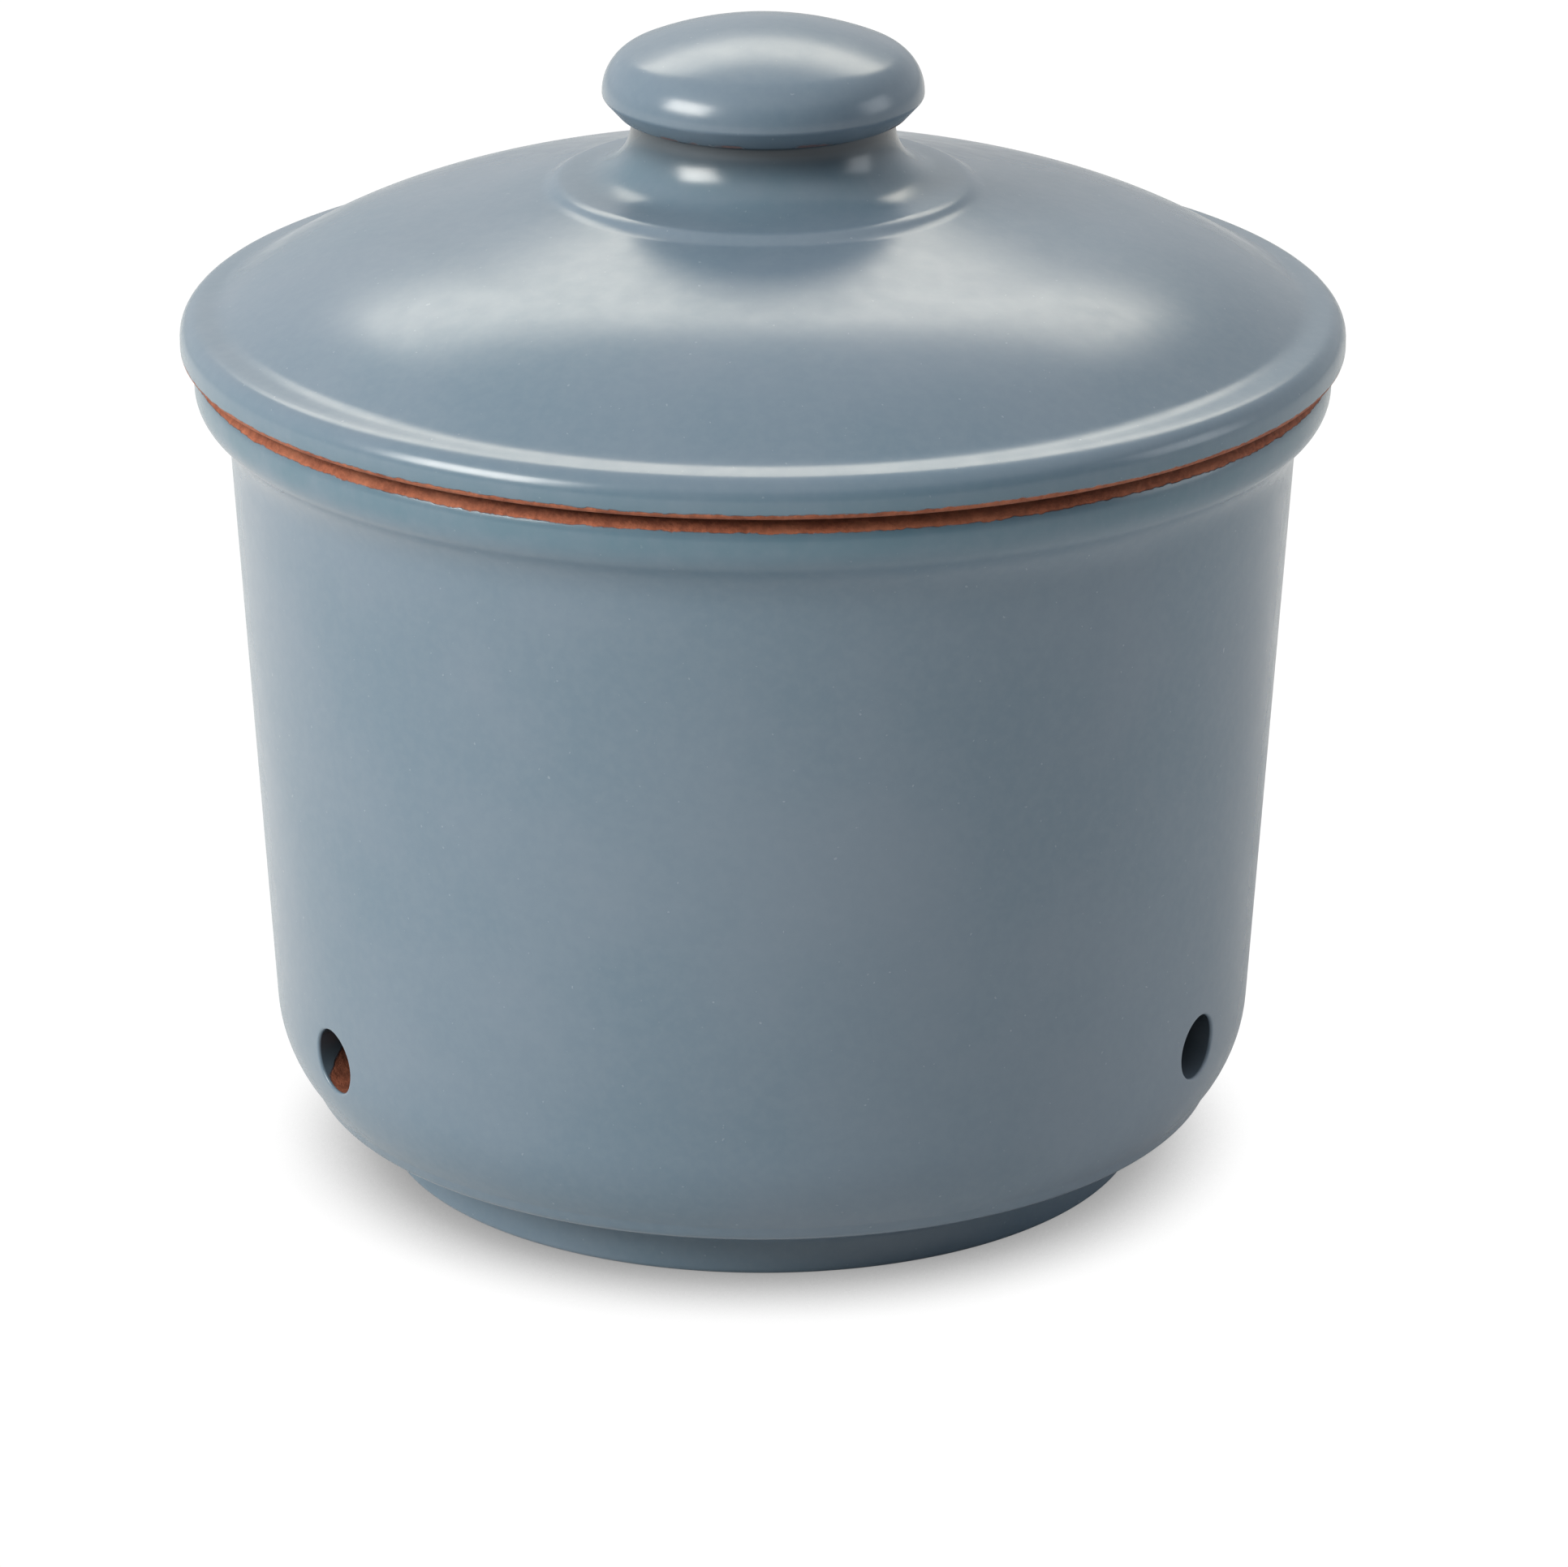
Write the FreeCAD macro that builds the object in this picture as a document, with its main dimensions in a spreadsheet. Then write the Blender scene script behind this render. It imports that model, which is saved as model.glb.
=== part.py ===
"""Garlic keeper: a glazed terracotta pot with three air vents, and its lift-off domed lid.

Millimetres, +Z up.  The origin is the centre of the circle that the foot ring stands on,
and the front of the pot faces -Y.  Every turned surface is a section drawn with radius
across and height up, turned once round the Z axis, as a potter's template turns it.
"""
import FreeCAD, Part
import math
import os
import re
import Sketcher


# Driving dimensions: name, value and what it measures.
# The pot's heights run up from the foot, and the lid's heights up from its seat.
SIZES = [
    ("pot_height", 109.4, "foot to the rim's top, where the lid sits"),
    ("foot_height", 4.1, "foot ring up to the crease under the belly"),
    ("foot_inset", 0.6, "how far that crease lies inside the foot's edge"),
    ("foot_ring_width", 7.5, "width of the ring that the pot stands on"),
    ("foot_recess", 2.4, "depth of the base inside the foot ring"),
    ("foot_bevel", 0.6, "bevel of the foot ring's edges"),
    ("belly_overhang", 13.9, "how far the belly's corner stands out beyond the foot ring"),
    ("belly_height", 6.3, "height of the belly's corner"),
    ("belly_round", 17.6, "rounding of the belly"),
    ("wall_taper", 5.5, "how far the wall leans out between belly and shoulder"),
    ("shoulder_drop", 10.2, "corner under the rim's flare below the rim's top"),
    ("shoulder_round", 8.4, "cove under the rim"),
    ("cove_depth", 4.3, "how far that corner lies inside the rim"),
    ("lip_radius", 73.3, "outside of the rim"),
    ("lip_drop", 6.2, "lower corner of the rim below its top"),
    ("lip_round", 4.6, "rounding of that corner"),
    ("rim_round", 2.7, "outer shoulder of the rim's top"),
    ("rim_width", 7.3, "width of the rim from its mouth to its outside"),
    ("mouth_depth", 9.0, "straight part of the mouth"),
    ("mouth_flare", 6.0, "height over which the bore opens to the mouth"),
    ("mouth_bevel", 1.2, "bevel of the mouth's edge"),
    ("pot_wall", 5.4, "thickness of the pot's wall"),
    ("floor_height", 9.4, "inside of the floor above the standing plane"),
    ("floor_turn", 12.2, "width and height over which the floor turns up into the wall"),
    ("floor_hip", 3.6, "how far the bend in that turn lies from floor and wall"),
    ("vent_bore", 8.6, "diameter of the air vents"),
    ("vent_left_turn", -60.0, "left vent, degrees round from the front"),
    ("vent_left_height", 22.2, "left vent above the standing plane"),
    ("vent_right_turn", 60.0, "right vent, degrees round from the front"),
    ("vent_right_height", 23.8, "right vent above the standing plane"),
    ("vent_back_turn", 180.0, "back vent, degrees round from the front"),
    ("vent_back_height", 23.0, "back vent above the standing plane"),
    ("lid_overhang", 1.7, "how far the lid's rolled edge stands out beyond the rim"),
    ("lid_wall", 5.8, "thickness of the lid, measured straight down"),
    ("edge_height", 4.6, "upper corner of the rolled edge"),
    ("edge_roll", 2.9, "rounding of that corner"),
    ("edge_bevel", 0.9, "small bevel under the rolled edge"),
    ("ledge_width", 4.7, "ledge inside the rolled edge"),
    ("ledge_rise", 1.1, "rise of that ledge towards the dome"),
    ("ledge_round", 14.0, "cove between ledge and dome"),
    ("dome_inset", 19.5, "how far the dome's corner lies inside the rolled edge"),
    ("dome_height", 14.1, "height of that corner"),
    ("dome_round", 71.0, "rounding over the dome's shoulder"),
    ("step_radius", 27.5, "foot of the low step round the knob"),
    ("dome_rise", 6.9, "rise of the shallow cone from the dome's corner to that step"),
    ("step_rise", 0.7, "rise of the step"),
    ("step_width", 0.8, "width over which the step rises"),
    ("neck_radius", 16.9, "waist under the knob"),
    ("cove_rise", 1.2, "rise from the step in to the foot of the neck"),
    ("neck_rise", 7.6, "foot of the neck up to the crease under the knob"),
    ("cove_round", 7.0, "cove that spreads the neck onto the dome"),
    ("knob_height", 11.7, "that crease to the top of the knob"),
    ("knob_radius", 20.6, "knob's widest circle"),
    ("knob_undercut", 2.1, "how far the sharp edge under the knob lies inside that circle"),
    ("lip_rise", 0.8, "rise of the knob's underside out to its lip"),
    ("knob_lip_bevel", 1.5, "bevel of the knob's lip"),
    ("knob_shoulder", 6.0, "rounding of the knob's upper shoulder"),
    ("crown_ratio", 2.267, "radius of the knob's shallow crown over the radius of the knob"),
    ("knob_wall", 5.5, "thickness of the neck round the hollow inside"),
    ("knob_roof", 6.4, "thickness of the knob over that hollow"),
    ("hollow_bevel", 2.5, "bevels at both ends of the hollow in the knob"),
    ("locating_clearance", 1.0, "gap all round between the lid's ring and the mouth"),
    ("locating_depth", 7.0, "how far the lid's ring drops into the mouth"),
    ("locating_width", 4.6, "thickness of that ring"),
    ("locating_bevel", 1.2, "bevel of that ring's lower edges"),
]

# Sizes that follow from them: name, formula and what it measures.
# All the radii hang on the rim, so that pot and lid keep fitting each other when it changes,
# and the lid's heights stack up from its dome to its knob.
DERIVED = [
    ("mouth_radius", "lip_radius - rim_width", "bore of the mouth, which the lid's ring drops into"),
    ("shoulder_radius", "lip_radius - cove_depth", "corner where the wall's line meets the flare under the rim"),
    ("belly_radius", "shoulder_radius - wall_taper", "corner where the wall's line meets the underside's line"),
    ("foot_radius", "belly_radius - belly_overhang", "outside of the foot ring where it stands"),
    ("lid_radius", "lip_radius + lid_overhang", "outside of the lid's rolled edge"),
    ("dome_radius", "lid_radius - dome_inset", "corner where the dome's skirt meets its shallow cone"),
    ("step_height", "dome_height + dome_rise", "height of the cone at the step round the knob"),
    ("neck_height", "step_height + step_rise + cove_rise + neck_rise", "crease between neck and knob"),
    ("lid_height", "neck_height + knob_height", "seat to the top of the knob"),
    ("knob_underside", "knob_radius - knob_undercut", "radius of the sharp edge under the knob"),
    ("knob_crown", "knob_radius * crown_ratio", "radius of the knob's shallow crown"),
]
ALIASES = {alias for alias, _, _ in SIZES + DERIVED}


def make_sheet(doc):
    """A spreadsheet with a row for each dimension, which its alias names."""
    sheet = doc.addObject("Spreadsheet::Sheet", "sizes")
    for row, (alias, value, meaning) in enumerate(SIZES + DERIVED, start=1):
        sheet.set(f"A{row}", meaning)
        sheet.set(f"B{row}", f"={value}")
        sheet.setAlias(f"B{row}", alias)
    doc.recompute()


def from_sheet(formula):
    """A formula of dimension names, with each name pointed at its cell."""
    return re.sub(r"[a-z_]+", lambda word: f"sizes.{word[0]}" if word[0] in ALIASES else word[0], formula)


def on_line(start, end, across):
    """Formula for the height at a radius on the straight line between two corners."""
    slope = f"({end[1]} - ({start[1]})) / ({end[0]} - ({start[0]}))"
    return f"{start[1]} + ({across} - ({start[0]})) * {slope}"


def new_body(doc, name):
    """An empty body for one piece, with its name as its label."""
    body = doc.addObject("PartDesign::Body", name)
    body.Label = name
    return body


def new_sketch(body, name, role):
    """A sketch flat on the body's own origin plane of this role."""
    sketch = body.newObject("Sketcher::SketchObject", name)
    plane = next(item for item in body.Origin.OriginFeatures if item.Role == role)
    sketch.AttachmentSupport = [(plane, "")]
    sketch.MapMode = "FlatFace"
    return sketch


def drive(sketch, formula, kind, *places):
    """Add a dimension to the sketch and bind it to a formula of the named sizes."""
    value = sketch.evalExpression(from_sheet(formula))
    if value < 0:
        # A distance below the origin is measured the other way, so that it stays positive.
        formula = f"-({formula})"
        places = places[2:] + places[:2]
    index = sketch.addConstraint(Sketcher.Constraint(kind, *places, abs(value)))
    sketch.setExpression(f"Constraints[{index}]", from_sheet(formula))


def pin(sketch, element, point, corner):
    """Hold one point of an element at a corner's radius and height."""
    for formula, kind, axis in ((corner[0], "DistanceX", -2), (corner[1], "DistanceY", -1)):
        if formula == "0":
            sketch.addConstraint(Sketcher.Constraint("PointOnObject", element, point, axis))
        else:
            drive(sketch, formula, kind, -1, 1, element, point)


def draw_section(sketch, corners):
    """Draw a closed outline of straight lines, rounded where a corner has a third entry.

    A corner is (radius, height) or (radius, height, rounding), each a formula of named sizes.
    """
    spots = []
    for corner in corners:
        across, up = (sketch.evalExpression(from_sheet(item)) for item in corner[:2])
        spots.append(FreeCAD.Vector(across, up, 0))
    ends = []
    for index, corner in enumerate(corners):
        spot = spots[index]
        if len(corner) < 3:
            ends.append((spot, spot, None))
            continue
        rounding = sketch.evalExpression(from_sheet(corner[2]))
        back = (spots[index - 1] - spot).normalize()
        ahead = (spots[(index + 1) % len(spots)] - spot).normalize()
        half = back.getAngle(ahead) / 2
        centre = spot + (back + ahead).normalize() * (rounding / math.sin(half))
        reach = rounding / math.tan(half)
        ends.append((spot + back * reach, spot + ahead * reach, centre))

    lines = []
    for index, (_, leave, _) in enumerate(ends):
        arrive = ends[(index + 1) % len(ends)][0]
        lines.append(sketch.addGeometry(Part.LineSegment(leave, arrive)))
    for index, corner in enumerate(corners):
        into = lines[index - 1]
        out = lines[index]
        arrive, leave, centre = ends[index]
        if centre is None:
            sketch.addConstraint(Sketcher.Constraint("Coincident", into, 2, out, 1))
            pin(sketch, out, 1, corner)
            continue
        mark = sketch.addGeometry(Part.Point(spots[index]), True)
        sketch.addConstraint(Sketcher.Constraint("PointOnObject", mark, 1, into))
        sketch.addConstraint(Sketcher.Constraint("PointOnObject", mark, 1, out))
        pin(sketch, mark, 1, corner)
        add_rounding(sketch, (into, arrive, 2), (out, leave, 1), centre, corner[2])


def add_rounding(sketch, into, out, centre, formula):
    """Add an arc between two elements, tangent to both, from the first one's end to the second's.

    into and out are (element, place, which end), and the arc's radius follows the formula.
    """
    arrive = into[1] - centre
    leave = out[1] - centre
    left_turn = arrive.cross(leave).z > 0
    first, last = (arrive, leave) if left_turn else (leave, arrive)
    circle = Part.Circle(centre, FreeCAD.Vector(0, 0, 1), arrive.Length)
    arc = sketch.addGeometry(Part.ArcOfCircle(circle, math.atan2(first.y, first.x), math.atan2(last.y, last.x)))
    start, finish = (1, 2) if left_turn else (2, 1)
    sketch.addConstraint(Sketcher.Constraint("Tangent", into[0], into[2], arc, start))
    sketch.addConstraint(Sketcher.Constraint("Tangent", arc, finish, out[0], out[2]))
    drive(sketch, formula, "Radius", arc)
    return arc


def turn(body, name, corners, kind):
    """Turn a section once round the axis, to add material (Revolution) or take it away (Groove)."""
    sketch = new_sketch(body, f"{name}_section", "XZ_Plane")
    draw_section(sketch, corners)
    spin(body, name, sketch, kind)


def spin(body, name, sketch, kind):
    """Turn a drawn sketch once round its vertical axis."""
    feature = body.newObject(f"PartDesign::{kind}", name)
    feature.Profile = sketch
    feature.ReferenceAxis = (sketch, ["V_Axis"])
    feature.Angle = 360.0
    body.Tip = feature


def bevel_edges(body, name, corners, size):
    """Bevel the turned edges that pass through the given corners (radius, height)."""
    body.Document.recompute()
    wanted = [tuple(body.evalExpression(from_sheet(item)) for item in corner) for corner in corners]
    names = []
    for number, edge in enumerate(body.Tip.Shape.Edges, start=1):
        if edge.Degenerated or not edge.isClosed() or not isinstance(edge.Curve, Part.Circle):
            continue
        circle = edge.Curve
        if any(abs(circle.Radius - across) + abs(circle.Center.z - up) < 0.01 for across, up in wanted):
            names.append(f"Edge{number}")
    feature = body.newObject("PartDesign::Chamfer", name)
    feature.Base = (body.Document.getObject(feature.BaseFeature.Name), names)
    feature.setExpression("Size", from_sheet(size))
    body.Tip = feature


def make_pot(doc):
    """The pot: foot ring, rounded belly, tapered wall and a heavy rim, hollow and vented."""
    body = new_body(doc, "pot")
    belly = ("belly_radius", "belly_height")
    shoulder = ("shoulder_radius", "pot_height - shoulder_drop")
    turn(body, "outside", [
        ("0", "0"),
        ("foot_radius - foot_bevel", "0"),
        ("foot_radius", "foot_bevel"),
        ("foot_radius - foot_inset", "foot_height"),
        (*belly, "belly_round"),
        (*shoulder, "shoulder_round"),
        ("lip_radius", "pot_height - lip_drop", "lip_round"),
        ("lip_radius", "pot_height", "rim_round"),
        ("0", "pot_height"),
    ], "Revolution")

    # Inside, the bore follows the outer wall's taper one wall thickness in.
    slope = f"({shoulder[0]} - belly_radius) / ({shoulder[1]} - belly_height)"
    bore = "belly_radius - pot_wall"
    throat = "pot_height - mouth_depth - mouth_flare"
    turn(body, "cavity", [
        ("0", "floor_height"),
        (f"{bore} - floor_turn", "floor_height"),
        (f"{bore} - floor_hip", "floor_height + floor_hip"),
        (f"{bore} + (floor_height + floor_turn - belly_height) * {slope}", "floor_height + floor_turn"),
        (f"{bore} + ({throat} - belly_height) * {slope}", throat),
        ("mouth_radius", "pot_height - mouth_depth"),
        ("mouth_radius", "pot_height"),
        ("0", "pot_height"),
    ], "Groove")

    recess = new_sketch(body, "recess_circle", "XY_Plane")
    circle = Part.Circle(FreeCAD.Vector(0, 0, 0), FreeCAD.Vector(0, 0, 1), 1.0)
    recess.addGeometry(circle)
    recess.addConstraint(Sketcher.Constraint("Coincident", 0, 3, -1, 1))
    drive(recess, "foot_radius - foot_ring_width", "Radius", 0)
    pocket = body.newObject("PartDesign::Pocket", "recess")
    pocket.Profile = recess
    pocket.Reversed = True
    pocket.setExpression("Length", from_sheet("foot_recess"))
    body.Tip = pocket

    for side in ("left", "right", "back"):
        bore_vent(body, side)
    bevel_edges(body, "mouth_edge", [("mouth_radius", "pot_height")], "mouth_bevel")
    bevel_edges(body, "foot_inner_edge", [("foot_radius - foot_ring_width", "0")], "foot_bevel")
    return body


def bore_vent(body, side):
    """Drill one round air vent level through the wall, outwards from the pot's axis."""
    sketch = new_sketch(body, f"vent_{side}_circle", "XZ_Plane")
    upright = FreeCAD.Rotation(FreeCAD.Vector(0, 1, 0), 1.0)
    sketch.AttachmentOffset = FreeCAD.Placement(FreeCAD.Vector(0, 0, 0), upright)
    sketch.setExpression("AttachmentOffset.Rotation.Angle", from_sheet(f"vent_{side}_turn"))
    height = body.evalExpression(from_sheet(f"vent_{side}_height"))
    circle = Part.Circle(FreeCAD.Vector(0, height, 0), FreeCAD.Vector(0, 0, 1), 1.0)
    sketch.addGeometry(circle)
    sketch.addConstraint(Sketcher.Constraint("PointOnObject", 0, 3, -2))
    drive(sketch, f"vent_{side}_height", "DistanceY", -1, 1, 0, 3)
    drive(sketch, "vent_bore", "Diameter", 0)
    pocket = body.newObject("PartDesign::Pocket", f"vent_{side}")
    pocket.Profile = sketch
    pocket.Type = "ThroughAll"
    pocket.Reversed = True
    body.Tip = pocket


def make_lid(doc):
    """The lid: domed disc with a rolled edge, locating ring, hollow neck and mushroom knob."""
    body = new_body(doc, "lid")
    body.setExpression("Placement.Base.z", from_sheet("pot_height"))
    ring_outside = "mouth_radius - locating_clearance"
    ring_inside = f"{ring_outside} - locating_width"
    step = ("step_radius", "step_height")
    dome = ("dome_radius", "dome_height")
    ledge = ("lid_radius - ledge_width", "edge_height + ledge_rise")
    turn(body, "dome", [
        ("0", "-locating_depth"),
        (ring_outside, "-locating_depth"),
        (ring_outside, "0"),
        ("lid_radius - edge_bevel", "0"),
        ("lid_radius", "edge_bevel"),
        ("lid_radius", "edge_height", "edge_roll"),
        (*ledge, "ledge_round"),
        (*dome, "dome_round"),
        step,
        ("step_radius - step_width", "step_height + step_rise"),
        ("neck_radius", "step_height + step_rise + cove_rise", "cove_round"),
        ("neck_radius", "neck_height"),
        ("0", "neck_height"),
    ], "Revolution")
    add_knob(body)

    # The underside follows the dome straight below it, and rises into the knob.
    bore = "neck_radius - knob_wall"
    bell = f"{bore} + hollow_bevel"
    turn(body, "hollow", [
        ("0", "-locating_depth"),
        (ring_inside, "-locating_depth"),
        (ring_inside, f"{on_line(dome, ledge, ring_inside)} - lid_wall"),
        ("dome_radius", "dome_height - lid_wall"),
        (bell, f"{on_line(step, dome, bell)} - lid_wall"),
        (bore, f"{on_line(step, dome, bell)} - lid_wall + hollow_bevel"),
        (bore, "lid_height - knob_roof - hollow_bevel"),
        (f"{bore} - hollow_bevel", "lid_height - knob_roof"),
        ("0", "lid_height - knob_roof"),
    ], "Groove")
    ring_edges = [(ring_outside, "-locating_depth"), (ring_inside, "-locating_depth")]
    bevel_edges(body, "locating_edges", ring_edges, "locating_bevel")
    return body


def add_knob(body):
    """The knob's head: a flat underside, a bevelled lip, an upright side and a shallow crown."""
    sketch = new_sketch(body, "knob_section", "XZ_Plane")

    def size(name):
        return body.evalExpression(from_sheet(name))

    across = size("knob_radius")
    crown = size("knob_crown")
    shoulder = size("knob_shoulder")
    base = FreeCAD.Vector(0, size("neck_height"), 0)
    under = FreeCAD.Vector(size("knob_underside"), base.y, 0)
    lip_start = FreeCAD.Vector(size("knob_radius - knob_lip_bevel"), size("neck_height + lip_rise"), 0)
    lip_end = FreeCAD.Vector(across, size("neck_height + lip_rise + knob_lip_bevel"), 0)
    top = FreeCAD.Vector(0, size("lid_height"), 0)

    # The shoulder's arc touches the side and, from inside, the crown.
    crown_centre = FreeCAD.Vector(0, top.y - crown, 0)
    rise = math.sqrt((crown - shoulder) ** 2 - (across - shoulder) ** 2)
    shoulder_centre = FreeCAD.Vector(across - shoulder, crown_centre.y + rise, 0)
    shoulder_start = shoulder_centre + FreeCAD.Vector(shoulder, 0, 0)
    shoulder_end = crown_centre + (shoulder_centre - crown_centre).normalize() * crown

    floor = sketch.addGeometry(Part.LineSegment(base, under))
    underside = sketch.addGeometry(Part.LineSegment(under, lip_start))
    lip = sketch.addGeometry(Part.LineSegment(lip_start, lip_end))
    side = sketch.addGeometry(Part.LineSegment(lip_end, shoulder_start))
    lean = math.atan2(shoulder_end.y - crown_centre.y, shoulder_end.x)
    circle = Part.Circle(crown_centre, FreeCAD.Vector(0, 0, 1), crown)
    crown_arc = sketch.addGeometry(Part.ArcOfCircle(circle, lean, math.pi / 2))
    axis = sketch.addGeometry(Part.LineSegment(top, base))

    for first, second in ((floor, underside), (underside, lip), (lip, side), (crown_arc, axis), (axis, floor)):
        sketch.addConstraint(Sketcher.Constraint("Coincident", first, 2, second, 1))
    pin(sketch, floor, 1, ("0", "neck_height"))
    pin(sketch, underside, 1, ("knob_underside", "neck_height"))
    pin(sketch, lip, 1, ("knob_radius - knob_lip_bevel", "neck_height + lip_rise"))
    pin(sketch, side, 1, ("knob_radius", "neck_height + lip_rise + knob_lip_bevel"))
    pin(sketch, axis, 1, ("0", "lid_height"))
    sketch.addConstraint(Sketcher.Constraint("Vertical", side))
    sketch.addConstraint(Sketcher.Constraint("PointOnObject", crown_arc, 3, -2))
    drive(sketch, "knob_crown", "Radius", crown_arc)
    into = (side, shoulder_start, 2)
    out = (crown_arc, shoulder_end, 1)
    add_rounding(sketch, into, out, shoulder_centre, "knob_shoulder")
    spin(body, "knob", sketch, "Revolution")


def write_parts(doc, bodies):
    """Check every object and each piece's solid, then write one file for each piece."""
    doc.recompute()
    for item in doc.Objects:
        if "Invalid" in item.State or "Error" in item.State:
            raise RuntimeError(f"{item.Name} did not compute: {item.State}")
    for body in bodies:
        shape = body.Shape
        if shape.isNull() or not shape.isValid() or len(shape.Solids) != 1:
            raise RuntimeError(f"{body.Label} is not one sound solid")
    os.makedirs("parts", exist_ok=True)
    for body in bodies:
        body.Shape.exportStep(f"parts/{body.Label}.step")
        box = body.Shape.BoundBox
        print(f"{body.Label}: {body.Shape.Volume / 1000:.1f} cm3, {box.ZMin:.2f} to {box.ZMax:.2f} mm high")


doc = FreeCAD.newDocument("garlic_keeper")
make_sheet(doc)
pieces = [make_pot(doc), make_lid(doc)]
write_parts(doc, pieces)
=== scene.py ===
"""Looks of the garlic keeper: a terracotta pot and lid under a satin blue-grey glaze.

Metres, +Z up, the front towards -Y.  Both pieces are turned round Z.  Their outlines are
listed in millimetres as radius, height and the rounding of the corner.
"""

import math

import bpy
import numpy as np
from mathutils import Euler, Matrix, Vector


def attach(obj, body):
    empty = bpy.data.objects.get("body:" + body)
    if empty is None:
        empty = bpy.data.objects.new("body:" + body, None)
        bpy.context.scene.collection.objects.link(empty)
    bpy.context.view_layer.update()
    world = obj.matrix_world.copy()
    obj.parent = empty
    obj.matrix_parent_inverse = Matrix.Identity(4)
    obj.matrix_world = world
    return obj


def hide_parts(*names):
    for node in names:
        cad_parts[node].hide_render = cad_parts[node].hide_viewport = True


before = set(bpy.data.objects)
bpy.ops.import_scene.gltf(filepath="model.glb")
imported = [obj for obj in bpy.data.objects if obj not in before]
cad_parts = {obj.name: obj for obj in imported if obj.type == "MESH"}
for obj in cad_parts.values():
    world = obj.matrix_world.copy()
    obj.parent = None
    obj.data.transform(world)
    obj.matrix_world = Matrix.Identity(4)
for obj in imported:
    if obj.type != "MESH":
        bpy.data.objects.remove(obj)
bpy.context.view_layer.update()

# Pot: a jar turned from red terracotta on a low foot ring, glazed outside and bare inside, with
# three air vents drilled low in its wall before firing.  Its outline runs from the base's centre
# round the outside, over the rim and down the inside.

POT_COLUMNS = 288
RIM_HEIGHT = 109.4
pot_corners = [
    (0, 2.4, 0), (42.1, 2.4, 0.5), (42.1, 0, 0.6), (50.3, 0, 0.7), (49.9, 5.0, 1.5),
    (59.6, 9.0, 2.0), (60.45, 10.87, 3.0), (64.05, 15.65, 17.4), (69.0, 99.2, 8.4),
    (73.3, 103.2, 4.6), (73.3, RIM_HEIGHT, 3.4), (66.0, RIM_HEIGHT, 1.5), (66.0, 100.4, 6.0),
    (63.32, 94.4, 6.0), (58.28, 9.4, 12.2), (0, 9.4, 0),
]


def rounded_outline(corners, spacing):
    """Points along a line through corners (radius, height, rounding), no further apart than spacing.

    Between two roundings the line is straight.  A rounding of size q whose legs open at the angle
    2a touches them q / tan(a) from the corner and has its centre q / sin(a) along the bisector.
    A rounding has at least seven steps.  Of points that coincide, one is kept.
    """
    spots = np.array([corner[:2] for corner in corners], float)
    parts = [spots[:1]]
    for index in range(1, len(spots) - 1):
        spot = spots[index]
        size = corners[index][2]
        back = spots[index - 1] - spot
        ahead = spots[index + 1] - spot
        back /= np.linalg.norm(back)
        ahead /= np.linalg.norm(ahead)
        half = math.acos(float(np.clip(back @ ahead, -1, 1))) / 2
        middle = back + ahead
        centre = spot + middle / np.linalg.norm(middle) * size / math.sin(half)
        first = spot + back * size / math.tan(half) - centre
        last = spot + ahead * size / math.tan(half) - centre
        sweep = math.pi - 2 * half
        turn = math.copysign(sweep, first[0] * last[1] - first[1] * last[0])
        steps = max(7, math.ceil(sweep * size / spacing))
        angles = np.linspace(0, turn, steps + 1)[:, None]
        parts.append(centre + first * np.cos(angles) + (-first[1], first[0]) * np.sin(angles))
    parts.append(spots[-1:])
    outline = parts[:1]
    for part in parts[1:]:
        start = outline[-1][-1]
        steps = max(1, math.ceil(np.linalg.norm(part[0] - start) / spacing))
        straight = start + (part[0] - start) * np.arange(1, steps)[:, None] / steps
        outline += [straight, part]
    points = np.vstack(outline)
    moved = np.linalg.norm(np.diff(points, axis=0), axis=1) > 1e-6
    return points[np.concatenate([[True], moved])]


def path_length(outline):
    """Distance along the outline from its first point to each of its points."""
    return np.concatenate([[0], np.cumsum(np.linalg.norm(np.diff(outline, axis=0), axis=1))])


def nearest_along(outline, lengths, spot):
    """Path length of the outline's point nearest to a spot (radius, height)."""
    return lengths[np.argmin(np.linalg.norm(outline - spot, axis=1))]


def bump_line(lengths, place, width):
    """A smooth bump of height 1 round one path length: exp(-((s - place) / width) ** 2)."""
    return np.exp(-((lengths - place) / width) ** 2)


def rim_start(outline):
    """Number of the first point of the pot's outline that is as high as the rim."""
    return int(np.argmax(outline[:, 1] > RIM_HEIGHT - 0.01))


# The two walls as radius against height, from a fine outline: above the foot on the outside, and
# above the floor on the inside.  ACROSS_RIM is the length of outline between them, and all of both
# walls at the vents is further out than WALL_RADIUS.
FINE_SPACING = 0.05
ACROSS_RIM = 20.0
WALL_RADIUS = 50
ABOVE_FOOT = 7
ABOVE_FLOOR = 9.6
pot_fine = rounded_outline(pot_corners, FINE_SPACING)
wall_outside = pot_fine[:rim_start(pot_fine)]
wall_outside = wall_outside[(wall_outside[:, 0] > WALL_RADIUS) & (wall_outside[:, 1] > ABOVE_FOOT)]
wall_inside = pot_fine[rim_start(pot_fine) + round(ACROSS_RIM / FINE_SPACING):][::-1]
wall_inside = wall_inside[wall_inside[:, 1] > ABOVE_FLOOR]


def outside_radius(height):
    """Radius of the pot's outer wall at a height, in millimetres."""
    return np.interp(height, wall_outside[:, 1], wall_outside[:, 0])


def inside_radius(height):
    """Radius of the pot's inner wall at a height, in millimetres."""
    return np.interp(height, wall_inside[:, 1], wall_inside[:, 0])


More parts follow.
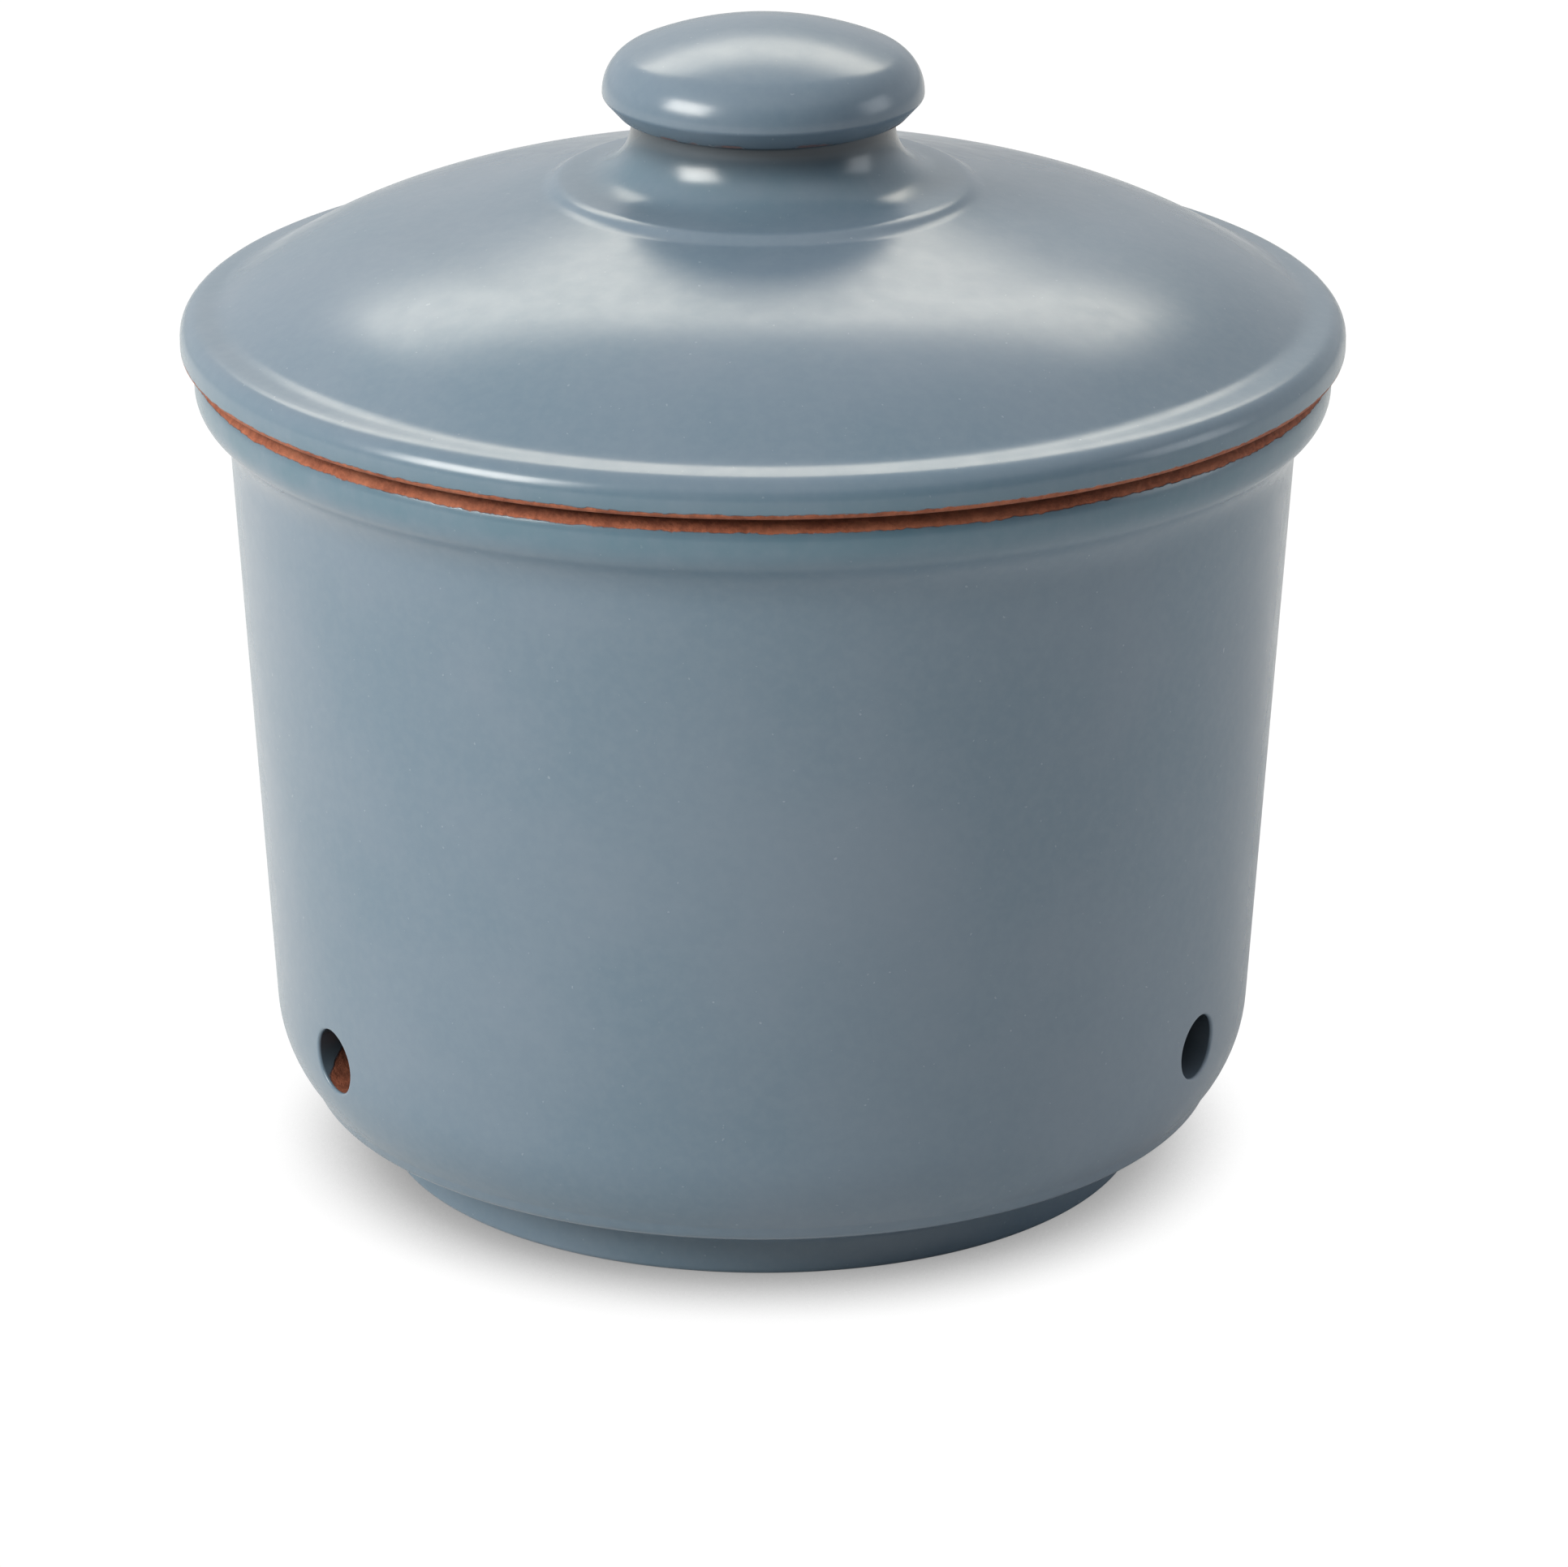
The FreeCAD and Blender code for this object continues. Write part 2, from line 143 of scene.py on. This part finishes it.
# The rows of the mesh lie closer outside than inside.  Where the vents are, both walls have rows
# at the same whole millimetres.
OUTSIDE_SPACING = 1.3
INSIDE_SPACING = 3.5
ROW_MARGIN = 0.6
levels = np.arange(13.0, 33.5, 1.0)
outside = rounded_outline(pot_corners, OUTSIDE_SPACING)
inside = rounded_outline(pot_corners, INSIDE_SPACING)
top_row = rim_start(outside)
coarse = np.vstack([outside[:top_row + 1], inside[rim_start(inside) + 1:]])
by_vents = (coarse[:, 1] > levels[0] - ROW_MARGIN) & (coarse[:, 1] < levels[-1] + ROW_MARGIN)
by_vents &= coarse[:, 0] > WALL_RADIUS
outer_gap = np.flatnonzero(by_vents & (np.arange(len(coarse)) < top_row))
inner_gap = np.flatnonzero(by_vents & (np.arange(len(coarse)) > top_row))
pot_outline = np.vstack([
    coarse[:outer_gap[0]],
    np.column_stack([outside_radius(levels), levels]),
    coarse[outer_gap[-1] + 1:inner_gap[0]],
    np.column_stack([inside_radius(levels[::-1]), levels[::-1]]),
    coarse[inner_gap[-1] + 1:],
])
outer_rows = outer_gap[0] + np.arange(len(levels))
inner_first = outer_gap[0] + len(levels) + inner_gap[0] - outer_gap[-1] - 1
inner_rows = (inner_first + np.arange(len(levels)))[::-1]

# What each row carries for the material: its distance into the glaze, how far the glaze is worn thin
# round the rim, and painted shade that darkens the clay in the seam under the lid.
fine_lengths = path_length(pot_fine)
pot_lengths = np.array([nearest_along(pot_fine, fine_lengths, spot) for spot in pot_outline])
glaze_from = nearest_along(pot_fine, fine_lengths, (48.9, 0.0))
glaze_to = nearest_along(pot_fine, fine_lengths, (73.0, 107.25))
rim_edge = nearest_along(pot_fine, fine_lengths, (72.0, 108.6))
row_glaze = np.minimum(pot_lengths - glaze_from, glaze_to - pot_lengths)
row_thin = 0.9 * bump_line(pot_lengths, glaze_to - 1.6, 2.6)
# Painted shade: a dark band on the rim's clay in the seam, where the lid shades it.
row_seam_shade = 0.7 * bump_line(pot_lengths, rim_edge + 0.2, 1.3)


def turned_grid(outline, columns):
    """Vertices of an outline turned round Z, and their numbers by row and column.

    Point (r, z) at column j lies at (r sin t, -r cos t, z) with t = 2 pi j / columns.  The first
    and last rows are poles, where all columns share one vertex.
    """
    angles = np.arange(columns) * 2 * math.pi / columns
    across = outline[1:-1, :1]
    height = np.repeat(outline[1:-1, 1:], columns, axis=1)
    turned = np.stack([across * np.sin(angles), -across * np.cos(angles), height], axis=-1)
    points = np.vstack([(0, 0, outline[0, 1]), turned.reshape(-1, 3), (0, 0, outline[-1, 1])])
    numbers = np.zeros((len(outline), columns), int)
    numbers[1:-1] = np.arange(1, len(points) - 1).reshape(-1, columns)
    numbers[-1] = len(points) - 1
    return points, numbers


def per_vertex(values, columns):
    """One value for each vertex of a turned grid from one value for each row of its outline."""
    return np.concatenate([values[:1], np.repeat(values[1:-1], columns), values[-1:]])


def turned_faces(numbers, kept, downwards=False):
    """Faces of a turned grid: a fan at each pole and, where kept is true, quads between rows.

    Corners run from (row, column) to the next column, the next row and back.  On an outline that
    is drawn downwards along its outside they run the other way round, so that faces point out.
    """
    beside = np.roll(numbers, -1, axis=1)
    quads = np.stack([numbers[:-1], beside[:-1], beside[1:], numbers[1:]], axis=-1)
    faces = []
    for block in (quads[0][:, [0, 2, 3]], quads[1:-1][kept[1:-1]], quads[-1][:, [0, 1, 2]]):
        if downwards:
            block = np.roll(block[:, ::-1], 1, axis=1)
        faces += block.tolist()
    return faces


def mesh_object(name, points_mm, faces, attributes):
    """A smooth-shaded mesh object at the origin, with a float value for each vertex and name."""
    mesh = bpy.data.meshes.new(name)
    mesh.from_pydata((points_mm * 0.001).tolist(), [], faces)
    mesh.polygons.foreach_set("use_smooth", [True] * len(mesh.polygons))
    for key, values in attributes.items():
        layer = mesh.attributes.new(key, "FLOAT", "POINT")
        layer.data.foreach_set("value", np.asarray(values, np.float32))
    mesh.update()
    piece = bpy.data.objects.new(name, mesh)
    bpy.context.scene.collection.objects.link(piece)
    return piece


# Vents: round each one a window of the grid is left out of both walls, and rings of faces close
# in on the bore.  Each vent has its column, its height and how far glaze covers its bore.
HALF_WINDOW = 7
BORE_RADIUS = 4.3
BORE_EDGE = 0.35
vents = [(240, 22.2, 1.4), (48, 23.8, 4.0), (144, 23.0, 4.0)]
GLAZED = 3.0
BARE = -6.0

points, pot_numbers = turned_grid(pot_outline, POT_COLUMNS)
pot_points = [points]
pot_glaze = [per_vertex(row_glaze, POT_COLUMNS)]
pot_thin = [per_vertex(row_thin, POT_COLUMNS)]
pot_pooled_and_shade = [per_vertex(row_seam_shade, POT_COLUMNS)]

kept = np.ones((len(pot_outline) - 1, POT_COLUMNS), bool)
for column, _, _ in vents:
    window = (column + np.arange(-HALF_WINDOW, HALF_WINDOW)) % POT_COLUMNS
    kept[np.ix_(outer_rows[:-1], window)] = False
    kept[np.ix_(inner_rows[1:], window)] = False
pot_faces = turned_faces(pot_numbers, kept)


def window_loop(row_numbers):
    """Rows and column steps round a window: along the bottom, up, back along the top, down."""
    sides = np.arange(-HALF_WINDOW, HALF_WINDOW + 1)
    across = len(sides) - 1
    upward = len(row_numbers) - 1
    loop_rows = np.concatenate([
        np.full(across, row_numbers[0]), row_numbers[:-1],
        np.full(across, row_numbers[-1]), row_numbers[:0:-1],
    ])
    loop_sides = np.concatenate([
        sides[:-1], np.full(upward, sides[-1]), sides[:0:-1], np.full(upward, sides[0]),
    ])
    return loop_rows, loop_sides


def vent_rings(row_numbers, column, height, radius_at, inward):
    """Vertices of a window's edge, and rings of points from there to the bore (across, up, out).

    A ring at share s lies at (1 - s) * window + s * circle of radius bore + edge, on the wall
    out = sqrt(radius_at(up) ** 2 - across ** 2).  The edge then rounds over by a quarter circle:
    radius = bore + edge (1 - sin a), sunk below the wall by edge (1 - cos a).  Inward is 1 on the
    outer wall and -1 on the inner one.
    """
    loop_rows, loop_sides = window_loop(row_numbers)
    up = pot_outline[loop_rows, 1]
    across = pot_outline[loop_rows, 0] * np.sin(loop_sides * 2 * math.pi / POT_COLUMNS)
    direction = np.arctan2(up - height, across)
    rings = []
    for share in (0.2, 0.38, 0.54, 0.68, 0.8, 0.9, 0.96, 1.0):
        reach = BORE_RADIUS + BORE_EDGE
        x = (1 - share) * across + share * reach * np.cos(direction)
        z = (1 - share) * up + share * (height + reach * np.sin(direction))
        rings.append((x, z, np.sqrt(radius_at(z) ** 2 - x ** 2)))
    for angle in np.radians((18, 36, 54, 72, 90)):
        reach = BORE_RADIUS + BORE_EDGE * (1 - math.sin(angle))
        x = reach * np.cos(direction)
        z = height + reach * np.sin(direction)
        sunk = inward * BORE_EDGE * (1 - math.cos(angle))
        rings.append((x, z, np.sqrt(radius_at(z) ** 2 - x ** 2) - sunk))
    return pot_numbers[loop_rows, (column + loop_sides) % POT_COLUMNS], rings


def add_ring(ring, column, glaze_mm, pooled_and_shade=0.0):
    """Add a ring of points, turned to a vent's column, and give their vertex numbers.

    A point (across, up, out) lies at (out sin t + across cos t, across sin t - out cos t, up),
    with t the angle of the column.
    """
    angle = column * 2 * math.pi / POT_COLUMNS
    across, up, out = ring
    x = out * math.sin(angle) + across * math.cos(angle)
    y = across * math.sin(angle) - out * math.cos(angle)
    start = sum(len(block) for block in pot_points)
    pot_points.append(np.column_stack([x, y, up]))
    pot_glaze.append(np.full(len(up), glaze_mm))
    pot_thin.append(np.zeros(len(up)))
    pot_pooled_and_shade.append(np.full(len(up), pooled_and_shade))
    return start + np.arange(len(up))


def join_rings(first, second):
    """Quads between two rings with the same number of vertices."""
    return np.column_stack([first, np.roll(first, -1), np.roll(second, -1), second]).tolist()


for column, height, cover in vents:
    previous, outer_rings = vent_rings(outer_rows, column, height, outside_radius, 1)
    inner_loop, inner_rings = vent_rings(inner_rows, column, height, inside_radius, -1)
    for ring in outer_rings:
        current = add_ring(ring, column, GLAZED)
        pot_faces += join_rings(previous, current)
        previous = current
    # Glaze reaches furthest along the bore's top.  Painted shade, with some pooled glaze, makes the
    # bore darkest there and far in.
    across, up, near = outer_rings[-1]
    far = inner_rings[-1][2]
    rise = (up - height) / BORE_RADIUS
    for share in (0.02, 0.25, 0.5, 0.75):
        glaze_mm = cover + 1.6 * rise - 1.9 * share
        bore_shade = np.clip(0.72 + 0.4 * rise + 0.15 * share, 0, 1)
        current = add_ring((across, up, near + (far - near) * share), column, glaze_mm, bore_shade)
        pot_faces += join_rings(previous, current)
        previous = current
    for ring in inner_rings[::-1]:
        current = add_ring(ring, column, BARE)
        pot_faces += join_rings(previous, current)
        previous = current
    pot_faces += join_rings(previous, inner_loop)

pot_shell = mesh_object("pot_shell", np.vstack(pot_points), pot_faces, {
    "glaze_mm": np.clip(np.concatenate(pot_glaze), -6, 6),
    "thin": np.concatenate(pot_thin),
    "pooled_and_shade": np.concatenate(pot_pooled_and_shade),
})
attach(pot_shell, "pot")
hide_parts("pot")

# The pot's material, which the lid shares: clay under glaze.  The vertex value "glaze_mm", the
# distance into the glaze, divides the two.  "thin" is glaze drawn off an edge, the pooled value is
# painted shade in the crease under the knob, in the vents' bores and in the seam between lid and
# rim, with some glaze gathered in the crease and the bores, and "clay_line" is clay that shows at a
# sharp edge.

GLAZE_DEEP = (0.110, 0.164, 0.216)
GLAZE_LIGHT = (0.136, 0.182, 0.234)
GLAZE_GRAIN = (0.190, 0.240, 0.280)
GLAZE_SPECK = (0.42, 0.47, 0.50)
GLAZE_THIN = (0.060, 0.135, 0.180)
# Painted shade on the glaze, with some glaze gathered in the crease and the bores.
GLAZE_POOLED_AND_SHADE = (0.024, 0.032, 0.040)
CLAY_DEEP = (0.19, 0.048, 0.020)
CLAY_LIGHT = (0.37, 0.110, 0.052)
CLAY_DUSTY = (0.45, 0.17, 0.09)
# Painted shade on the clay in the seam and the bores.
CLAY_SEAM_SHADE = (0.026, 0.007, 0.003)

glazed = bpy.data.materials.new("glazed_terracotta")
glazed.use_nodes = True
tree = glazed.node_tree
shader = tree.nodes["Principled BSDF"]
place = tree.nodes.new("ShaderNodeTexCoord").outputs["Object"]


def noise(scale, detail, roughness=0.5):
    """Noise over the piece's own coordinates; its factor output."""
    node = tree.nodes.new("ShaderNodeTexNoise")
    node.inputs["Scale"].default_value = scale
    node.inputs["Detail"].default_value = detail
    node.inputs["Roughness"].default_value = roughness
    tree.links.new(place, node.inputs["Vector"])
    return node.outputs["Fac"]


def value_of(key):
    """Factor output of one of the piece's vertex values."""
    node = tree.nodes.new("ShaderNodeAttribute")
    node.attribute_name = key
    return node.outputs["Fac"]


def combine(operation, *sources, clamp=False):
    """A math node on outputs or numbers; its output."""
    node = tree.nodes.new("ShaderNodeMath")
    node.operation = operation
    node.use_clamp = clamp
    for socket, source in zip(node.inputs, sources):
        if isinstance(source, (int, float)):
            socket.default_value = source
        else:
            tree.links.new(source, socket)
    return node.outputs[0]


def span(source, low, high, out_low=0.0, out_high=1.0):
    """A smooth step of the source from low to high, between two output values."""
    node = tree.nodes.new("ShaderNodeMapRange")
    node.interpolation_type = "SMOOTHSTEP"
    ends = {"From Min": low, "From Max": high, "To Min": out_low, "To Max": out_high}
    for key, number in ends.items():
        node.inputs[key].default_value = number
    tree.links.new(source, node.inputs["Value"])
    return node.outputs["Result"]


def blend(factor, first, second):
    """Colour mix of two outputs or colours by a factor; its output."""
    node = tree.nodes.new("ShaderNodeMix")
    node.data_type = "RGBA"
    tree.links.new(factor, node.inputs[0])
    for socket, source in zip(node.inputs[6:8], (first, second)):
        if isinstance(source, tuple):
            socket.default_value = (*source, 1)
        else:
            tree.links.new(source, socket)
    return node.outputs[2]


# Where the glaze ends: a ragged line that also wanders slowly.
ragged = combine("MULTIPLY_ADD", noise(650, 3, 0.6), 0.7, -0.35)
slow = combine("MULTIPLY_ADD", noise(45, 2), 0.5, -0.25)
border = combine("ADD", combine("ADD", value_of("glaze_mm"), ragged), slow)
is_glaze = span(border, -0.1, 0.1)

# Glaze: slow patches, a fine grain, pale specks, then its thin places and painted shade, partly
# gathered glaze.
patches = span(noise(26, 4, 0.55), 0.3, 0.7)
fine = span(noise(700, 3, 0.6), 0.3, 0.75)
specks = span(noise(1500, 1, 0.4), 0.775, 0.8)
uneven = span(noise(170, 3, 0.6), 0.25, 0.7, 0.5, 1.0)
thin = combine("MULTIPLY", value_of("thin"), uneven, clamp=True)
glaze_colour = blend(patches, GLAZE_DEEP, GLAZE_LIGHT)
glaze_colour = blend(combine("MULTIPLY", fine, 0.12), glaze_colour, GLAZE_GRAIN)
glaze_colour = blend(combine("MULTIPLY", specks, 0.2), glaze_colour, GLAZE_SPECK)
glaze_colour = blend(combine("MULTIPLY", thin, 0.75), glaze_colour, GLAZE_THIN)
glaze_colour = blend(value_of("pooled_and_shade"), glaze_colour, GLAZE_POOLED_AND_SHADE)

# Clay: a coarse grain, dusty patches and painted shade in the seam and the bores.
grain = span(noise(900, 4, 0.65), 0.3, 0.75)
dusty = span(noise(110, 3), 0.4, 0.7, 0.0, 0.35)
clay_colour = blend(grain, CLAY_DEEP, CLAY_LIGHT)
clay_colour = blend(dusty, clay_colour, CLAY_DUSTY)
clay_colour = blend(combine("MULTIPLY", value_of("pooled_and_shade"), 0.92), clay_colour, CLAY_SEAM_SHADE)

# The line of clay at a sharp edge is broken, and half of the glaze's colour stays over it.
broken = span(noise(130, 3, 0.6), 0.35, 0.6)
clay_line = combine("MULTIPLY", value_of("clay_line"), broken, clamp=True)
is_glaze = combine("MULTIPLY", is_glaze, span(clay_line, 0.4, 0.7, 1.0, 0.5))
tree.links.new(blend(is_glaze, clay_colour, glaze_colour), shader.inputs["Base Color"])

# Gloss: satin on the glaze, matt on the clay.
CLAY_ROUGHNESS = 0.85
satin = span(noise(300, 3), 0.3, 0.7, 0.23, 0.27)
rough = tree.nodes.new("ShaderNodeMix")
tree.links.new(is_glaze, rough.inputs[0])
rough.inputs[2].default_value = CLAY_ROUGHNESS
tree.links.new(satin, rough.inputs[3])
tree.links.new(rough.outputs[0], shader.inputs["Roughness"])
shader.inputs["IOR"].default_value = 1.5

# Relief in metres: the glaze's orange peel and slow waves, the clay's grain, and the glaze's own
# thickness where it ends.
ORANGE_PEEL = 0.000006
WAVINESS = 0.00005
CLAY_GRAIN = 0.00008
GLAZE_THICKNESS = 0.00010
orange_peel = combine("MULTIPLY", noise(260, 2), ORANGE_PEEL)
waves = combine("MULTIPLY", noise(45, 2), WAVINESS)
skin = combine("MULTIPLY", combine("ADD", orange_peel, waves), is_glaze)
is_clay = combine("SUBTRACT", 1.0, is_glaze)
pitted = combine("MULTIPLY", combine("MULTIPLY", grain, CLAY_GRAIN), is_clay)
coat = combine("MULTIPLY", is_glaze, GLAZE_THICKNESS)
relief = combine("ADD", coat, combine("ADD", skin, pitted))
bump = tree.nodes.new("ShaderNodeBump")
bump.inputs["Strength"].default_value = 1.0
bump.inputs["Distance"].default_value = 1.0
tree.links.new(relief, bump.inputs["Height"])
tree.links.new(bump.outputs["Normal"], shader.inputs["Normal"])

pot_shell.data.materials.append(glazed)

# Lid: a shallow dome of the same clay with a rolled edge, its mushroom knob made on it before
# firing, and a locating ring that drops inside the rim.  Its outline runs from the knob's top down
# the outside, under the edge and up the hollow underside; its corners are listed above the rim.

LID_COLUMNS = 320
LID_SPACING = 1.0
CROWN_RADIUS = 43.0
CROWN_CENTRE = -0.8
SHOULDER_RADIUS = 6.0
SHOULDER_FROM_AXIS = 14.6

# The knob's head is two arcs that touch: a wide crown, and a shoulder that ends upright.
crown_end = math.asin(SHOULDER_FROM_AXIS / (CROWN_RADIUS - SHOULDER_RADIUS))
shoulder_height = CROWN_CENTRE + (CROWN_RADIUS - SHOULDER_RADIUS) * math.cos(crown_end)
crown_turn = np.linspace(0, crown_end, 16)
shoulder_turn = np.linspace(crown_end, math.pi / 2, 14)[1:]
crown = CROWN_RADIUS * np.column_stack([np.sin(crown_turn), np.cos(crown_turn)])
shoulder = SHOULDER_RADIUS * np.column_stack([np.sin(shoulder_turn), np.cos(shoulder_turn)])
head = np.vstack([crown + (0, CROWN_CENTRE), shoulder + (SHOULDER_FROM_AXIS, shoulder_height)])

body_line = rounded_outline([
    (*head[-1], 0), (20.6, 32.8, 0.8), (18.5, 30.5, 0.3), (16.9, 30.3, 0.5),
    (16.9, 22.9, 7.0), (26.4, 21.8, 3.0), (28.0, 20.7, 4.5), (55.5, 14.1, 71.0), (69.8, 5.5, 6.0),
    (75.0, 4.6, 2.9), (75.0, 0, 1.0), (65.0, 0, 0.5), (65.0, -7.0, 1.5), (60.4, -7.0, 1.5),
    (60.4, 5.52, 3.0), (55.5, 8.3, 20.0), (11.4, 19.16, 5.0), (11.4, 35.8, 5.0), (0, 35.8, 0),
], LID_SPACING)
lid_outline = np.vstack([head, body_line[1:]]) + (0, RIM_HEIGHT)
lid_lengths = path_length(lid_outline)
lid_edge = nearest_along(lid_outline, lid_lengths, (75.0, RIM_HEIGHT + 0.7))
lip_edge = nearest_along(lid_outline, lid_lengths, (18.5, RIM_HEIGHT + 30.5))
neck_crease = nearest_along(lid_outline, lid_lengths, (16.9, RIM_HEIGHT + 30.3))
cove = nearest_along(lid_outline, lid_lengths, (18.9, RIM_HEIGHT + 25.0))

# The glaze ends low on the edge.  It is thin there and in the cove.  Painted shade, with some
# gathered glaze, darkens the crease under the knob.  Past the edge, where the lid meets the rim,
# painted shade darkens the clay.
row_glaze = np.clip(lid_edge - lid_lengths, -6, 6)
row_thin = 0.6 * bump_line(lid_lengths, lid_edge, 2.6) + 0.55 * bump_line(lid_lengths, cove, 4.5)
row_clay_line = bump_line(lid_lengths, lip_edge, 0.7)
row_pooled_and_shade = 0.85 * bump_line(lid_lengths, neck_crease + 0.8, 3.0)
row_pooled_and_shade += bump_line(lid_lengths, lid_edge + 1.9, 1.2)

lid_points, lid_numbers = turned_grid(lid_outline, LID_COLUMNS)
whole = np.ones((len(lid_outline) - 1, LID_COLUMNS), bool)
lid_faces = turned_faces(lid_numbers, whole, downwards=True)
lid_shell = mesh_object("lid_shell", lid_points, lid_faces, {
    "glaze_mm": per_vertex(row_glaze, LID_COLUMNS),
    "thin": per_vertex(row_thin, LID_COLUMNS),
    "clay_line": per_vertex(row_clay_line, LID_COLUMNS),
    "pooled_and_shade": per_vertex(row_pooled_and_shade, LID_COLUMNS),
})
lid_shell.data.materials.append(glazed)
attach(lid_shell, "lid")
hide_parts("lid")

# Floor: a wide sheet of pale paper that the pot stands on.  The camera sees it white, with a painted
# shadow close round the pot's foot that comes from ambient occlusion, not from the lamps.  To all
# else it is paper of the colour below.

PAPER_COLOUR = (0.7, 0.7, 0.7, 1)
SHADE_REACH = 0.020
floor_mesh = bpy.data.meshes.new("floor")
floor_mesh.from_pydata([(-6, -4, 0), (6, -4, 0), (6, 14, 0), (-6, 14, 0)], [], [(0, 1, 2, 3)])
floor = bpy.data.objects.new("floor", floor_mesh)
bpy.context.scene.collection.objects.link(floor)
paper = bpy.data.materials.new("white_paper")
paper.use_nodes = True
tree = paper.node_tree
tree.nodes.clear()
sheet = tree.nodes.new("ShaderNodeBsdfDiffuse")
sheet.inputs["Color"].default_value = PAPER_COLOUR
shade = tree.nodes.new("ShaderNodeAmbientOcclusion")
shade.inputs["Distance"].default_value = SHADE_REACH
seen_with_shadow = tree.nodes.new("ShaderNodeEmission")
tree.links.new(span(shade.outputs["AO"], 0.0, 0.68, 0.25, 1.02), seen_with_shadow.inputs["Strength"])
to_camera = tree.nodes.new("ShaderNodeLightPath").outputs["Is Camera Ray"]
mix = tree.nodes.new("ShaderNodeMixShader")
tree.links.new(to_camera, mix.inputs[0])
tree.links.new(sheet.outputs[0], mix.inputs[1])
tree.links.new(seen_with_shadow.outputs[0], mix.inputs[2])
surface = tree.nodes.new("ShaderNodeOutputMaterial")
tree.links.new(mix.outputs[0], surface.inputs["Surface"])
floor_mesh.materials.append(paper)

# Light: a pale room that is dark in front, so that the glaze reflects little there, with a soft
# panel high behind the pot and one at each side.

WALL_BACK = 0.76
WALL_FRONT = 0.045
OVERHEAD = 0.86
world = bpy.data.worlds.new("studio")
bpy.context.scene.world = world
world.use_nodes = True
tree = world.node_tree
background = tree.nodes["Background"]
background.inputs["Color"].default_value = (1, 1, 1, 1)
direction = tree.nodes.new("ShaderNodeSeparateXYZ")
tree.links.new(tree.nodes.new("ShaderNodeTexCoord").outputs["Generated"], direction.inputs[0])
around = span(direction.outputs["Y"], -0.5, 0.4, WALL_FRONT, WALL_BACK)
is_high = span(direction.outputs["Z"], 0.45, 0.8)
is_low = combine("SUBTRACT", 1.0, is_high)
walls = combine("MULTIPLY", around, is_low)
room = combine("ADD", walls, combine("MULTIPLY", is_high, OVERHEAD))
to_camera = tree.nodes.new("ShaderNodeLightPath").outputs["Is Camera Ray"]
tree.links.new(combine("MAXIMUM", room, to_camera), background.inputs["Strength"])


def soft_panel(name, azimuth, elevation, distance, width, height, power, colour):
    """A rectangular area light that faces the pot, from an azimuth round from the front."""
    data = bpy.data.lights.new(name, "AREA")
    data.shape = "RECTANGLE"
    data.size = width
    data.size_y = height
    data.energy = power
    data.color = colour
    light = bpy.data.objects.new(name, data)
    turn = math.radians(azimuth)
    climb = math.radians(elevation)
    level = math.cos(climb)
    spot = Vector((math.sin(turn) * level, -math.cos(turn) * level, math.sin(climb))) * distance
    light.location = spot + Vector((0, 0, 0.08))
    light.rotation_euler = (-spot).to_track_quat("-Z", "Y").to_euler()
    bpy.context.scene.collection.objects.link(light)


soft_panel("back_panel", azimuth=180, elevation=43, distance=1.6,
           width=1.5, height=0.46, power=9.6, colour=(1, 0.95, 0.82))
soft_panel("left_key", azimuth=-60, elevation=28, distance=1.7,
           width=0.9, height=0.7, power=34, colour=(1, 0.98, 0.92))
soft_panel("right_fill", azimuth=88, elevation=14, distance=1.7,
           width=0.7, height=0.7, power=4, colour=(0.93, 0.97, 1))

# Camera: the photograph's place, 0.9 m in front and 0.38 m up, with a long lens.  Its angles are
# in degrees.

LENS = 166.96
HEADING = -0.95
DIP = 20.33
ROLL = 0.137
DISTANCE = 0.9
SIDESTEP = 0.00285
CAMERA_HEIGHT = 0.3818
camera_data = bpy.data.cameras.new("camera")
camera_data.lens = LENS
camera_data.sensor_width = 36
camera = bpy.data.objects.new("camera", camera_data)
heading = math.radians(HEADING)
right = Vector((math.cos(heading), math.sin(heading), 0))
back = Vector((math.sin(heading), -math.cos(heading), 0))
camera.location = back * DISTANCE + right * SIDESTEP + Vector((0, 0, CAMERA_HEIGHT))
tilt = Euler((math.radians(90 - DIP), 0, heading)).to_matrix()
roll = Matrix.Rotation(math.radians(ROLL), 3, "Z")
camera.rotation_euler = (tilt @ roll).to_euler()
bpy.context.scene.collection.objects.link(camera)
bpy.context.scene.camera = camera
bpy.context.scene.view_settings.view_transform = "Standard"
